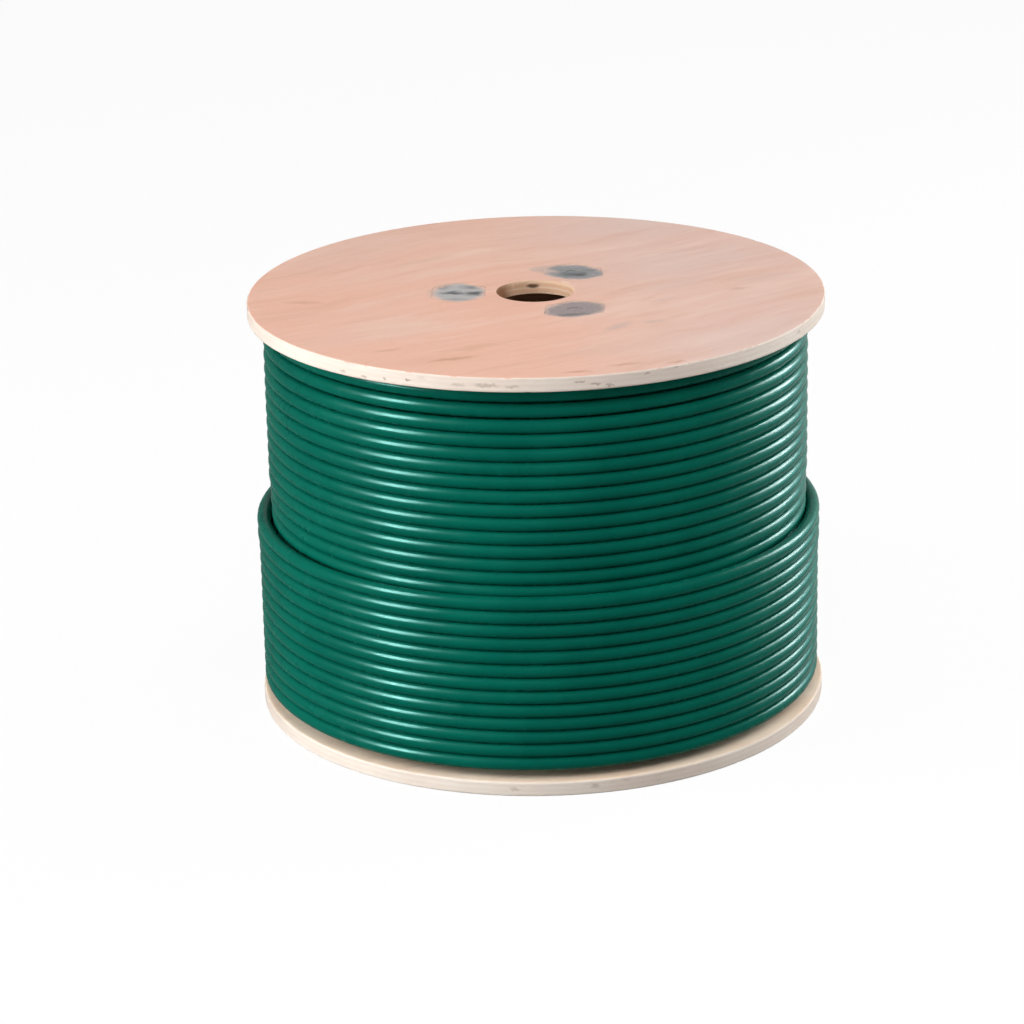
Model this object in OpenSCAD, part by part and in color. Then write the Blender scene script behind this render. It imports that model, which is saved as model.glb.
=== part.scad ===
// Plywood cable reel wound with round sheathed cable.
// It stands on its lower flange. +Z runs up the spindle hole, and the origin is
// the centre of the foot. All sizes are in millimetres and degrees.

/* [Flanges] */
// Diameter of both plywood flanges
flange_d = 300; // [270:1:340]
// Thickness of each flange
flange_t = 7.5; // [6:0.5:12]
// Radius rounded off the edges of each flange's rim
rim_round = 0.8; // [0.2:0.1:2]
// Distance between the inner faces of the flanges
traverse = 205; // [180:1:230]
// Diameter of the hole that the spindle passes through
spindle_hole_d = 40; // [25:1:50]

/* [Barrel] */
// Outer diameter of the barrel tube
barrel_d = 106; // [96:1:120]
// Wall of the barrel tube
barrel_wall = 4; // [2:0.5:5]
// Thickness of the hub discs that the barrel tube seats on
hub_disc_t = 9; // [6:0.5:15]
// Radial gap between a hub disc and the barrel tube
hub_gap = 0.2; // [0.1:0.05:0.5]

/* [Tie rods and tee nuts] */
// Number of tie rods
rod_count = 3; // [3:1:4]
// Angle of the first tie rod, counted from +X
rod_start_angle = 60; // [0:5:120]
// Wood left between a tee nut's hole and the edge of its hub disc
rod_edge = 3.2; // [1.6:0.1:6]
// Diameter of a tie rod
rod_d = 8; // [6:0.5:9]
// Radial gap between a tie rod and its tee nut
thread_gap = 0.1; // [0.05:0.05:0.2]
// Depth of a tie rod's ends below the flanges' faces
rod_sunk = 0.6; // [0.2:0.1:2]
// Outer diameter of a tee nut's barrel
nut_barrel_d = 11; // [10.5:0.5:12]
// Length of a tee nut's barrel, under its plate
nut_barrel_len = 12; // [8:0.5:12]
// Length of a tee nut's plate, across the radius
nut_plate_len = 36; // [30:1:40]
// Width of a tee nut's plate, along the radius
nut_plate_w = 27; // [20:1:30]
// Thickness of a tee nut's plate
nut_plate_t = 1.2; // [0.8:0.1:2]
// Depth of a tee nut's plate below the flange's face
nut_sunk = 0.2; // [0:0.1:0.5]
// Gap round a tee nut's plate, barrel and prongs in the wood
nut_gap = 0.15; // [0.05:0.05:0.3]
// Length of a tee nut's prongs, under its plate
prong_len = 4; // [2:0.5:4]
// Width of a prong
prong_w = 5; // [3:0.5:6]
// Distance between the two prongs of a tee nut, middle to middle
prong_spacing = 22; // [22:0.5:24]

/* [Hub nails] */
// Distance of the nails from the edge of their hub disc
nail_edge = 7; // [4:0.5:14]
// Diameter of a nail's shank
nail_d = 1.8; // [1.2:0.1:2]
// Diameter of a nail's head
nail_head_d = 4.5; // [3:0.1:6]
// Thickness of a nail's head
nail_head_t = 0.8; // [0.5:0.1:1]
// Depth that a nail reaches into the flange
nail_reach = 4.5; // [2:0.5:5]
// Gap round a nail in the wood
nail_gap = 0.05; // [0.02:0.01:0.1]

/* [Cable] */
// Diameter over the cable's sheath
cable_d = 7.3; // [6.5:0.1:8]
// Room left between neighbouring turns
turn_gap = 0.1; // [0.05:0.05:0.4]
// Number of turns in the part-filled outermost layer
outer_turns = 13; // [6:1:18]
// Height of the outermost layer's first turn above the bottom flange
outer_lift = 1.5; // [0.5:0.1:3]
// Least distance from the flange's rim down to the outermost turns
rim_margin = 0.5; // [0.3:0.1:3]
// Gap between the plain core and what touches it
core_gap = 0.1; // [0.05:0.05:0.3]
// Diameter over the insulation inside the sheath
insulation_d = 4.8; // [3.5:0.1:5.5]
// Length of bare insulation at a cut end
insulation_bare = 2; // [1:0.5:4]
// Diameter of the conductor
conductor_d = 1.6; // [1:0.1:2.5]
// Radial gap between the conductor and its insulation
wire_gap = 0.05; // [0.02:0.01:0.1]
// Length of bare conductor at a cut end, beyond the insulation
conductor_bare = 3; // [1:0.5:6]

/* [Start end] */
// Height of the cable's start end above the bottom flange
start_height = 26; // [22:1:60]
// Direction in which the start end enters the barrel, counted from +X
start_angle = 120; // [105:1:135]
// Radius of the start end's bend, to the cable's middle
start_bend_r = 16; // [15:0.5:18]
// Length of the start end's upright run
start_rise = 45; // [20:1:80]
// Gap round the cable in the barrel's hole
start_hole_gap = 0.3; // [0.1:0.1:1]

/* [End tape] */
// Width of the tape, along the turns
tape_w = 26; // [15:1:50]
// Thickness of the tape
tape_t = 0.3; // [0.1:0.1:0.5]
// Number of turns of the outermost layer that the tape covers
tape_turns_below = 4; // [2:1:5]
// Number of turns above the step that the tape covers
tape_turns_above = 2; // [1:1:4]
// Gap between the tape and the turns under it
tape_gap = 0.1; // [0.05:0.05:0.3]
// Distance from the end of the last turn back to the tape
tape_back = 6; // [2:1:30]

/* [Hidden] */
$fn = 96;
eps = 0.01;

// Flanges and barrel
flange_r = flange_d / 2;
reel_h = traverse + 2 * flange_t;
barrel_r = barrel_d / 2;
barrel_bore_r = barrel_r - barrel_wall;
hub_disc_r = barrel_bore_r - hub_gap;

// Tie rods and nails, inwards from the hub discs' edge
nut_hole_r = nut_barrel_d / 2 + nut_gap;
rod_circle_r = hub_disc_r - rod_edge - nut_hole_r;
nail_circle_r = hub_disc_r - nail_edge;
nail_first_angle = rod_start_angle + 180 / rod_count;

// Cable layers: each turn beds in the groove between two turns of the layer below
cable_r = cable_d / 2;
turn_pitch = cable_d + turn_gap;
layer_step = sqrt(pow(cable_d, 2) - pow(turn_pitch / 2, 2));

// The two layers in view wind opposite ways up the reel, so near the step the
// outermost turns cross over the others. There both layers give way by half.
loop_rings = 24;
cross_turns = 33 / loop_rings;
clear_turns = 1.5;
ease_turns = 0.8;
cross_gap = 0.1;
cross_ease = (cable_d + cross_gap - layer_step) / 2;
room_for_layers = flange_r - rim_margin - cross_ease - barrel_r - cable_d;
full_layers = floor(room_for_layers / layer_step);
upper_r = barrel_r + cable_r + (full_layers - 1) * layer_step;
outer_r = upper_r + layer_step;

// Outermost layer: starts at the back of the bottom flange and climbs
wind_start_angle = 90;
outer_z0 = flange_t + cable_r + outer_lift;
outer_z1 = outer_z0 + outer_turns * turn_pitch;
outer_ease_from = outer_turns - cross_turns - clear_turns;

// Last full layer: starts at the back of the top flange and comes down behind the outermost turns
upper_z0 = flange_t + traverse - cable_r;
upper_turns = floor((upper_z0 - outer_z1) / turn_pitch) + cross_turns;
upper_z1 = upper_z0 - upper_turns * turn_pitch;
upper_ease_from = upper_turns - cross_turns - clear_turns;

// Plain core under the turns in view, which run straight from ring to ring
tube_sides = 6;
chord_share = cos(180 / loop_rings);
core_upper_r = (upper_r - cross_ease - cable_r) * chord_share - core_gap;
core_lower_r = (outer_r - cable_r) * chord_share - core_gap;
core_step_z = upper_z1 - cable_r - core_gap;

// Start end inside the barrel
start_z = flange_t + start_height;
start_out_r = barrel_r - core_gap;
start_turn_r = barrel_r - cable_d;
start_up_r = start_turn_r - start_bend_r;

// Tape over the outer end: down over the outermost turns, and up over the others
tape_r = outer_r + cross_ease + cable_r + tape_gap;
tape_upper_r = upper_r + cable_r + tape_gap;
tape_step_z = outer_z1 + cable_r / 2;
tape_low_z = outer_z1 - tape_turns_below * turn_pitch;
tape_fold_z = tape_step_z + cable_d;
tape_high_z = tape_fold_z + tape_turns_above * turn_pitch;
deg_per_mm = 180 / (PI * tape_r);
outer_end_angle = wind_start_angle + 360 * outer_turns;

// ---- placing ----

// Copies its children round the reel's axis
module around(count, radius, first) {
    for (i = [0 : count - 1]) {
        rotate([0, 0, first + 360 * i / count])
            translate([radius, 0, 0])
                children();
    }
}

// Turns what is drawn for the bottom of the reel over, to fit its top
module at_top() {
    translate([0, 0, reel_h])
        mirror([0, 0, 1])
            children();
}

// ---- tube along a winding ----

// Smooth step from 0 to 1 that begins at one turn count and lasts some turns
function eased(turn, from, over) =
    let (s = min(max((turn - from) / over, 0), 1))
    s * s * (3 - 2 * s);

// One ring of the tube, at radius r, angle a and height z, moved along its run
function ring(r, a, z, run) = [
    for (k = [0 : tube_sides - 1])
        let (t = 360 * k / tube_sides, rr = r + cable_r * cos(t))
        [rr * cos(a) - run * sin(a), rr * sin(a) + run * cos(a), z + cable_r * sin(t)]
];

// Rings of a layer: straight for one diameter, its turns, straight again
function layer_rings(r0, ease, from, z0, rise, turns) =
    let (
        steps = round(turns * loop_rings),
        first = ring(r0, wind_start_angle, z0, -cable_d),
        last_r = r0 + ease * eased(turns, from, ease_turns),
        last = ring(last_r, wind_start_angle + 360 * turns, z0 + rise * turns, cable_d)
    )
    concat(
        [first],
        [for (i = [0 : steps])
            let (u = turns * i / steps)
            ring(r0 + ease * eased(u, from, ease_turns), wind_start_angle + 360 * u, z0 + rise * u, 0)],
        [last]
    );

// Triangles between two rings, and over the tube's two ends
function side_faces(rings) = [
    for (i = [0 : rings - 2], k = [0 : tube_sides - 1], half = [0, 1])
        let (
            a = i * tube_sides + k,
            b = i * tube_sides + (k + 1) % tube_sides,
            c = a + tube_sides,
            d = b + tube_sides
        )
        half == 0 ? [a, b, c] : [b, d, c]
];
function end_faces(rings) = [
    for (k = [1 : tube_sides - 2], far = [0, 1])
        let (base = far * (rings - 1) * tube_sides)
        far == 0 ? [base, base + k + 1, base + k] : [base, base + k, base + k + 1]
];

module tube(rings) {
    polyhedron(
        points = [for (one = rings) each one],
        faces = concat(side_faces(len(rings)), end_faces(len(rings))),
        convexity = 10
    );
}

upper_rings = layer_rings(upper_r, -cross_ease, upper_ease_from, upper_z0, -turn_pitch, upper_turns);
outer_rings = layer_rings(outer_r, cross_ease, outer_ease_from, outer_z0, turn_pitch, outer_turns);

// Least distance between the points of a ring and those of the ring one loop on
function loop_gap(rings) = min([
    for (i = [1 : len(rings) - 2 - loop_rings], p = rings[i], q = rings[i + loop_rings])
        norm(p - q)
]);
echo(least_gap_upper_turns_mm = loop_gap(upper_rings));
echo(least_gap_outer_turns_mm = loop_gap(outer_rings));

// Length of cable on the reel, from the middle of each layer
turns_per_layer = (traverse - cable_d) / turn_pitch;
function layer_len(layer) = 2 * PI * (barrel_r + cable_r + layer * layer_step) * turns_per_layer;
function sum_len(layer) = layer < 0 ? 0 : layer_len(layer) + sum_len(layer - 1);
echo(cable_length_m = (sum_len(full_layers - 1) + 2 * PI * outer_r * outer_turns) / 1000);

// ---- tee nuts ----

// Outline of a tee nut's plate: a long hexagon that lies across the radius
module plate_outline(grow) {
    half_len = nut_plate_len / 2 + grow;
    half_w = nut_plate_w / 2 + grow;
    polygon([
        [-half_w, -half_len / 2],
        [0, -half_len],
        [half_w, -half_len / 2],
        [half_w, half_len / 2],
        [0, half_len],
        [-half_w, half_len / 2]
    ]);
}

// Both prongs of a tee nut, pointing into the wood
module prongs(grow) {
    for (side = [-1, 1]) {
        translate([-prong_w / 2 - grow, side * prong_spacing / 2 - nut_plate_t / 2 - grow, nut_sunk + eps])
            cube([prong_w + 2 * grow, nut_plate_t + 2 * grow, nut_plate_t + prong_len + grow - eps]);
    }
}

// Windows in the plate that the prongs were bent out of
module prong_windows() {
    for (side = [-1, 1]) {
        translate([0, side * (prong_spacing - nut_plate_t - prong_len) / 2, nut_sunk + nut_plate_t / 2])
            cube([prong_w, prong_len, nut_plate_t + 2 * eps], center = true);
    }
}

// Tee nut for the bottom flange, its plate outwards
module tee_nut() {
    difference() {
        union() {
            translate([0, 0, nut_sunk])
                linear_extrude(nut_plate_t)
                    plate_outline(0);
            translate([0, 0, nut_sunk + eps])
                cylinder(d = nut_barrel_d, h = nut_plate_t + nut_barrel_len - eps);
            prongs(0);
        }
        prong_windows();
        translate([0, 0, -eps])
            cylinder(d = rod_d + 2 * thread_gap, h = nut_sunk + nut_plate_t + nut_barrel_len + 2 * eps);
    }
}

// Room for a tee nut's barrel, through flange and hub disc
module nut_barrel_hole() {
    translate([0, 0, -eps])
        cylinder(r = nut_hole_r, h = flange_t + hub_disc_t + 2 * eps);
}

// Room for a tee nut in a flange
module tee_nut_seat() {
    translate([0, 0, -eps])
        linear_extrude(nut_sunk + nut_plate_t + eps)
            plate_outline(nut_gap);
    nut_barrel_hole();
    prongs(nut_gap);
}

// ---- hub nails ----

// Nail from the hub disc's inner face into the flange
module nail(grow) {
    translate([0, 0, flange_t - nail_reach])
        cylinder(d = nail_d + 2 * grow, h = nail_reach + hub_disc_t - eps);
    translate([0, 0, flange_t + hub_disc_t - nail_head_t])
        cylinder(d = nail_head_d + 2 * grow, h = nail_head_t + grow);
}

// ---- wood and board ----

// Flange with its tee nuts' seats and its nails' holes, outer face down
module flange() {
    difference() {
        rotate_extrude()
            polygon([
                [spindle_hole_d / 2, 0],
                [flange_r - rim_round, 0],
                [flange_r, rim_round],
                [flange_r, flange_t - rim_round],
                [flange_r - rim_round, flange_t],
                [spindle_hole_d / 2, flange_t]
            ]);
        around(rod_count, rod_circle_r, rod_start_angle)
            tee_nut_seat();
        around(rod_count, nail_circle_r, nail_first_angle)
            nail(nail_gap);
    }
}

// Hub disc on the bottom flange
module hub_disc() {
    difference() {
        translate([0, 0, flange_t])
            cylinder(r = hub_disc_r, h = hub_disc_t);
        cylinder(d = spindle_hole_d, h = flange_t + hub_disc_t + eps);
        around(rod_count, rod_circle_r, rod_start_angle)
            nut_barrel_hole();
        around(rod_count, nail_circle_r, nail_first_angle)
            nail(nail_gap);
    }
}

module bottom_flange() {
    color("burlywood")
        flange();
}

module top_flange() {
    color("burlywood")
        at_top()
            flange();
}

module bottom_hub_disc() {
    color("tan")
        hub_disc();
}

module top_hub_disc() {
    color("tan")
        at_top()
            hub_disc();
}

module barrel_tube() {
    color("peru")
        difference() {
            translate([0, 0, flange_t])
                cylinder(r = barrel_r, h = traverse);
            translate([0, 0, flange_t - eps])
                cylinder(r = barrel_bore_r, h = traverse + 2 * eps);
            at_start_hole()
                cylinder(r = cable_r + start_hole_gap, h = 2 * barrel_wall);
        }
}

// ---- steel ----

module tie_rods() {
    color("silver")
        around(rod_count, rod_circle_r, rod_start_angle)
            translate([0, 0, rod_sunk])
                cylinder(d = rod_d, h = reel_h - 2 * rod_sunk);
}

module bottom_tee_nuts() {
    color("lightslategray")
        around(rod_count, rod_circle_r, rod_start_angle)
            tee_nut();
}

module top_tee_nuts() {
    color("lightslategray")
        at_top()
            around(rod_count, rod_circle_r, rod_start_angle)
                tee_nut();
}

module bottom_hub_nails() {
    color("gray")
        around(rod_count, nail_circle_r, nail_first_angle)
            nail(0);
}

module top_hub_nails() {
    color("gray")
        at_top()
            around(rod_count, nail_circle_r, nail_first_angle)
                nail(0);
}

// ---- cable ----

// Every layer below those in view, as one plain core with a step
module cable_inner_layers() {
    color("darkgreen")
        rotate_extrude()
            polygon([
                [barrel_r + core_gap, flange_t],
                [core_lower_r, flange_t],
                [core_lower_r, core_step_z],
                [core_upper_r, core_step_z],
                [core_upper_r, flange_t + traverse],
                [barrel_r + core_gap, flange_t + traverse]
            ]);
}

module cable_upper_turns() {
    color("seagreen")
        tube(upper_rings);
}

module cable_outer_turns() {
    color("seagreen")
        tube(outer_rings);
}

// Outer face of the barrel's wall, looking in along the start end
module at_start_hole() {
    rotate([0, 0, start_angle])
        translate([barrel_r + eps, 0, start_z])
            rotate([0, -90, 0])
                children();
}

// Start end of the cable: in through the barrel's wall, then up inside it
module cable_start_tail() {
    color("seagreen")
        rotate([0, 0, start_angle]) {
            translate([start_turn_r, 0, start_z])
                rotate([0, 90, 0])
                    cylinder(r = cable_r, h = start_out_r - start_turn_r);
            translate([start_turn_r, 0, start_z + start_bend_r])
                rotate([90, 0, 0])
                    rotate([0, 0, 180])
                        rotate_extrude(angle = 90)
                            translate([start_bend_r, 0])
                                circle(r = cable_r);
            translate([start_up_r, 0, start_z + start_bend_r])
                cylinder(r = cable_r, h = start_rise);
        }
}

// Puts its children on the start end's cut, inside the barrel, +Z along the cable
module at_start_cut() {
    rotate([0, 0, start_angle])
        translate([start_up_r, 0, start_z + start_bend_r + start_rise])
            children();
}

// Puts its children on the outer end's cut, at the step, +Z along the cable
module at_outer_cut() {
    rotate([0, 0, outer_end_angle])
        translate([outer_r + cross_ease, cable_d, outer_z1])
            rotate([-90, 0, 0])
                children();
}

// Insulation that a cut end bares, with the conductor's hole
module bared_insulation() {
    difference() {
        cylinder(d = insulation_d, h = insulation_bare);
        translate([0, 0, -eps])
            cylinder(d = conductor_d + 2 * wire_gap, h = insulation_bare + 2 * eps);
    }
}

module bared_conductor() {
    cylinder(d = conductor_d, h = insulation_bare + conductor_bare);
}

module start_end_insulation() {
    color("ivory")
        at_start_cut()
            bared_insulation();
}

module start_end_conductor() {
    color("chocolate")
        at_start_cut()
            bared_conductor();
}

module outer_end_insulation() {
    color("ivory")
        at_outer_cut()
            bared_insulation();
}

module outer_end_conductor() {
    color("chocolate")
        at_outer_cut()
            bared_conductor();
}

// Strip of tape that keeps the cable's outer end down
module end_tape() {
    color("wheat")
        rotate([0, 0, outer_end_angle - (tape_back + tape_w) * deg_per_mm])
            rotate_extrude(angle = tape_w * deg_per_mm)
                polygon([
                    [tape_r, tape_low_z],
                    [tape_r + tape_t, tape_low_z],
                    [tape_r + tape_t, tape_step_z],
                    [tape_upper_r + tape_t, tape_fold_z],
                    [tape_upper_r + tape_t, tape_high_z],
                    [tape_upper_r, tape_high_z],
                    [tape_upper_r, tape_fold_z],
                    [tape_r, tape_step_z]
                ]);
}

bottom_flange();
top_flange();
bottom_hub_disc();
top_hub_disc();
barrel_tube();
tie_rods();
bottom_tee_nuts();
top_tee_nuts();
bottom_hub_nails();
top_hub_nails();
cable_inner_layers();
cable_upper_turns();
cable_outer_turns();
cable_start_tail();
start_end_insulation();
start_end_conductor();
outer_end_insulation();
outer_end_conductor();
end_tape();
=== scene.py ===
# Plywood reel wound with round green sheathed cable, standing on its lower flange.
# Z runs up the spindle hole from the foot, and the cable's outer end is at the back, towards Y.
import math

import bmesh
import bpy
from mathutils import Matrix, Vector, noise


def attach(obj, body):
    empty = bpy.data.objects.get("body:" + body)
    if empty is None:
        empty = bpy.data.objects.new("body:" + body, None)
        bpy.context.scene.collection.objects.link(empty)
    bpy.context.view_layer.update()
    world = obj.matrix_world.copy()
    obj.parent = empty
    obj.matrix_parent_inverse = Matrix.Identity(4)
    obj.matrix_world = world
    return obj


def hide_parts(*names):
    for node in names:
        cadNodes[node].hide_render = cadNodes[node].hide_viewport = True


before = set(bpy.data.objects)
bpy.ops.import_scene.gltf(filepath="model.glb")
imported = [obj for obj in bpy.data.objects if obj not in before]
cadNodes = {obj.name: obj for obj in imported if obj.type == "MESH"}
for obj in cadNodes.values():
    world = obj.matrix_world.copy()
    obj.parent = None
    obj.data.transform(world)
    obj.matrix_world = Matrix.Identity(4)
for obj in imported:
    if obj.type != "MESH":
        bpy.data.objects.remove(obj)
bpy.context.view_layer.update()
mm = 0.001  # camera and studio are set in metres, and every other dictionary in millimetres
print("wire spool: frame loaded with", len(cadNodes), "nodes")


# ease from 0 to 1 with level ends
def easeStep(value):
    value = min(max(value, 0.0), 1.0)
    return value * value * (3 - 2 * value)


def addObject(name, data):
    item = bpy.data.objects.new(name, data)
    bpy.context.collection.objects.link(item)
    return item


def setMaterials(mesh, materials):
    mesh.materials.clear()
    for material in materials:
        mesh.materials.append(material)


def smoothShade(mesh, sharpAngle):
    for face in mesh.polygons:
        face.use_smooth = True
    mesh.set_sharp_from_angle(angle=math.radians(sharpAngle))


def addMeshPiece(name, bm, materials, sharpAngle=35):
    mesh = bpy.data.meshes.new(name)
    bm.to_mesh(mesh)
    bm.free()
    setMaterials(mesh, materials)
    smoothShade(mesh, sharpAngle)
    return addObject(name, mesh)


def joinInto(whole, part):
    spare = bpy.data.meshes.new("spare")
    part.to_mesh(spare)
    part.free()
    whole.from_mesh(spare)
    bpy.data.meshes.remove(spare)


# camera, fitted to the reel's outline, with its angles in radians
cameraSet = {
    "place": (0.0, -1.80268, 0.74353),
    "yaw": -0.0082,
    "pitch": 0.3438,
    "roll": -0.0225,
    "lens": 126.7,
    "near": 0.05,
    "far": 30,
}


def placeCamera():
    data = bpy.data.cameras.new("reelCamera")
    data.lens = cameraSet["lens"]
    data.clip_start = cameraSet["near"]
    data.clip_end = cameraSet["far"]
    camera = addObject("reelCamera", data)
    yaw, pitch, roll = cameraSet["yaw"], cameraSet["pitch"], cameraSet["roll"]
    look = Vector((math.sin(yaw) * math.cos(pitch), math.cos(yaw) * math.cos(pitch), -math.sin(pitch)))
    level = look.cross(Vector((0, 0, 1))).normalized()
    right = level * math.cos(roll) + level.cross(look) * math.sin(roll)
    upward = right.cross(look)
    turn = Matrix((right, upward, -look)).transposed().to_4x4()
    camera.matrix_world = Matrix.Translation(Vector(cameraSet["place"])) @ turn
    bpy.context.scene.camera = camera


placeCamera()
bpy.context.scene.view_settings.view_transform = "Standard"

studioSet = {
    "paperSize": 5.0,
    "paperColour": (0.86, 0.86, 0.86, 1),
    "bounceColour": (0.24, 0.24, 0.24, 1),  # what the paper throws back on the object
    "shadowShare": 0.06,  # how much of the paper's own shading shows
    "fillLight": 0.20,
    "aim": (0, 0, 0.12),  # where the lamps point
    # name: azimuth from the camera (left is below zero), elevation, distance,
    # width, height, spin, level, and whether it lights surfaces or only shows in their gloss
    "lamps": {
        "leftKey": (-68, 14, 1.7, 1.0, 1.4, 0, 1.22, "light"),
        "frontFill": (-6, 5, 2.2, 1.2, 0.5, 0, 0.05, "light"),
        "frontHigh": (8, 48, 1.9, 1.2, 0.7, 0, 0.33, "light"),
        "topFill": (0, 84, 1.9, 1.0, 1.0, 0, 0.10, "light"),
        "rightFill": (72, 38, 1.8, 1.0, 0.8, 0, 0.15, "light"),
        "rightBack": (116, 14, 1.7, 1.1, 1.2, 0, 0.84, "light"),
        "leftStreak": (-63, 31, 1.5, 0.34, 0.90, 14, 11.5, "gloss"),
        "rightStreak": (123, 25, 1.5, 0.36, 0.70, 0, 2.2, "gloss"),
        "rightGlow": (121, 4, 1.5, 0.8, 1.7, 0, 1.10, "gloss"),
    },
    "tints": {"rightGlow": (0.35, 0.95, 1.0)},
    "flags": (0.25, 0.75),  # shares of the white that the gloss loses, at the right and at the left
    "flagEdges": (-0.1, 0.3),  # how far to the left a ray goes where each share begins
}


def feed(tree, source, socket):
    if hasattr(source, "is_output"):
        tree.links.new(source, socket)
    else:
        socket.default_value = source


def addMath(tree, kind, first, second=0.0, clamp=False):
    node = tree.nodes.new("ShaderNodeMath")
    node.operation = kind
    node.use_clamp = clamp
    feed(tree, first, node.inputs[0])
    feed(tree, second, node.inputs[1])
    return node.outputs[0]


def addAxis(tree, vector, axis):
    node = tree.nodes.new("ShaderNodeSeparateXYZ")
    tree.links.new(vector, node.inputs[0])
    return node.outputs[axis]


def addRange(tree, value, edges, levels, kind):
    node = tree.nodes.new("ShaderNodeMapRange")
    node.interpolation_type = kind
    tree.links.new(value, node.inputs["Value"])
    for socket, number in zip(("From Min", "From Max", "To Min", "To Max"), edges + levels):
        node.inputs[socket].default_value = number
    return node.outputs["Result"]


def addBlend(tree, share, first, second):
    node = tree.nodes.new("ShaderNodeMix")
    node.data_type = "RGBA"
    for socket, source in ((0, share), (6, first), (7, second)):
        feed(tree, source, node.inputs[socket])
    return node.outputs[2]


# two shaders mixed and led to the output node of a world or a material
def mixToOutput(tree, share, first, second, outputKind):
    mix = tree.nodes.new("ShaderNodeMixShader")
    out = tree.nodes.new(outputKind)
    tree.links.new(share, mix.inputs["Fac"])
    tree.links.new(first.outputs[0], mix.inputs[1])
    tree.links.new(second.outputs[0], mix.inputs[2])
    tree.links.new(mix.outputs[0], out.inputs["Surface"])


# 1 for rays that should see a white studio, 0 for the light on the object
def studioRay(tree):
    path = tree.nodes.new("ShaderNodeLightPath").outputs
    seen = addMath(tree, "MAXIMUM", path["Is Camera Ray"], path["Is Glossy Ray"])
    return addMath(tree, "MAXIMUM", seen, path["Is Transmission Ray"])


# strength of the white around the reel, held back from the gloss, most towards the left
def flaggedWhite(tree):
    ray = tree.nodes.new("ShaderNodeNewGeometry").outputs["Incoming"]
    fade = addRange(tree, addAxis(tree, ray, "X"), studioSet["flagEdges"], studioSet["flags"], "LINEAR")
    glossy = tree.nodes.new("ShaderNodeLightPath").outputs["Is Glossy Ray"]
    return addMath(tree, "SUBTRACT", 1, addMath(tree, "MULTIPLY", glossy, fade))


def makeWorld():
    world = bpy.data.worlds.new("whiteStudio")
    world.use_nodes = True
    bpy.context.scene.world = world
    tree = world.node_tree
    tree.nodes.clear()
    whites = []
    for strength in (studioSet["fillLight"], flaggedWhite(tree)):
        white = tree.nodes.new("ShaderNodeBackground")
        white.inputs["Color"].default_value = (1, 1, 1, 1)
        feed(tree, strength, white.inputs["Strength"])
        whites.append(white)
    mixToOutput(tree, studioRay(tree), *whites, "ShaderNodeOutputWorld")


def makePaper():
    paper = bpy.data.materials.new("whitePaper")
    paper.use_nodes = True
    tree = paper.node_tree
    tree.nodes.clear()
    shade = tree.nodes.new("ShaderNodeBsdfDiffuse")
    tone = addBlend(tree, studioRay(tree), studioSet["bounceColour"], studioSet["paperColour"])
    tree.links.new(tone, shade.inputs["Color"])
    glow = tree.nodes.new("ShaderNodeEmission")
    tree.links.new(flaggedWhite(tree), glow.inputs["Strength"])
    share = addMath(tree, "MULTIPLY", studioRay(tree), 1 - studioSet["shadowShare"])
    mixToOutput(tree, share, shade, glow, "ShaderNodeOutputMaterial")
    bm = bmesh.new()
    bmesh.ops.create_grid(bm, x_segments=4, y_segments=4, size=studioSet["paperSize"] / 2)
    floor = addMeshPiece("studioFloor", bm, [paper])


def addLamps():
    for name, settings in studioSet["lamps"].items():
        azimuth, elevation, distance, width, height, spin, level, use = settings
        data = bpy.data.lights.new(name, "AREA")
        data.shape = "RECTANGLE"
        data.size = width
        data.size_y = height
        # power that gives a surface facing the lamp this level at the reel
        data.energy = level * math.pi**2 * distance**2
        data.color = studioSet["tints"].get(name, (1, 1, 1))
        lamp = addObject(name, data)
        turn, rise = math.radians(azimuth), math.radians(elevation)
        way = Vector((math.sin(turn) * math.cos(rise), -math.cos(turn) * math.cos(rise), math.sin(rise)))
        place = Vector(studioSet["aim"]) + way * distance
        facing = way.to_track_quat("Z", "Y").to_matrix() @ Matrix.Rotation(math.radians(spin), 3, "Z")
        lamp.matrix_world = Matrix.Translation(place) @ facing.to_4x4()
        lamp.visible_diffuse = use != "gloss"
        lamp.visible_glossy = use != "light"


makeWorld()
makePaper()
addLamps()
print("wire spool: camera and studio")


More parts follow.
